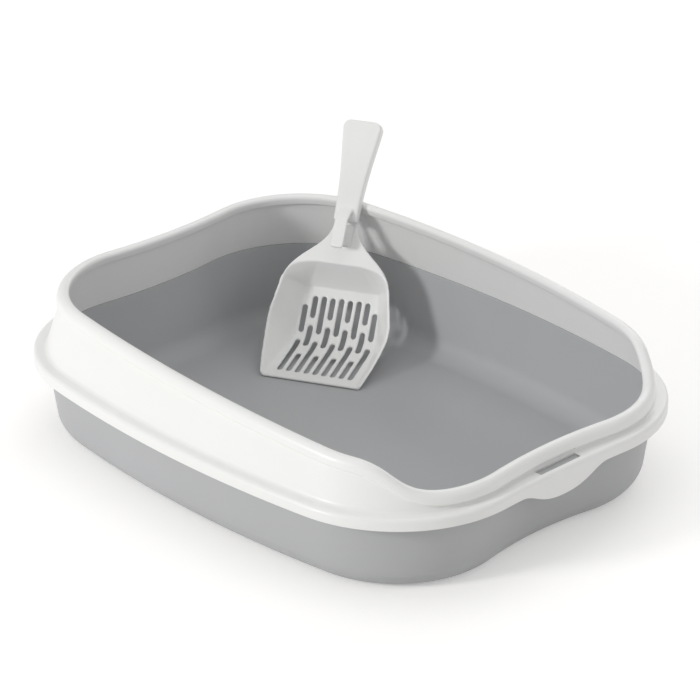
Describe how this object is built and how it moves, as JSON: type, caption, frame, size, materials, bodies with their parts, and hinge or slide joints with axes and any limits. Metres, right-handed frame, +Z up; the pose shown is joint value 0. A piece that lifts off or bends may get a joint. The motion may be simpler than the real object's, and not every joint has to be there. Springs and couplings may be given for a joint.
{
  "type": "open-top litter box",
  "caption": "Open-top cat litter box: a deep rounded grey tray, a white lift-off splash surround with a low entrance, and a slotted white scoop leaning in the back corner.",
  "frame": {"origin": "middle of the tray's flat underside, on the floor", "axes": "+Z up, +Y along the long axis towards the tall back, -Y towards the low entrance, +X towards the side whose back corner holds the scoop"},
  "size_m": [0.3998, 0.5, 0.1911],
  "materials": {
    "tray": "satin moulded grey polypropylene",
    "splash_surround": "semi-gloss moulded white polypropylene",
    "scoop": "semi-gloss moulded white polypropylene"
  },
  "bodies": {
    "tray": {"tray": "tray"},
    "surround": {"splash_surround": "splash_surround"},
    "scoop": {"scoop": "scoop"}
  },
  "joints": [
    {"name": "surround_lift", "type": "slide", "parent": "tray", "child": "surround", "axis": [0, 0, 1], "range_m": [0, 0.12]},
    {"name": "scoop_lift", "type": "slide", "parent": "surround", "child": "scoop", "axis": [0, 0, 1], "range_m": [0, 0.2]}
  ]
}
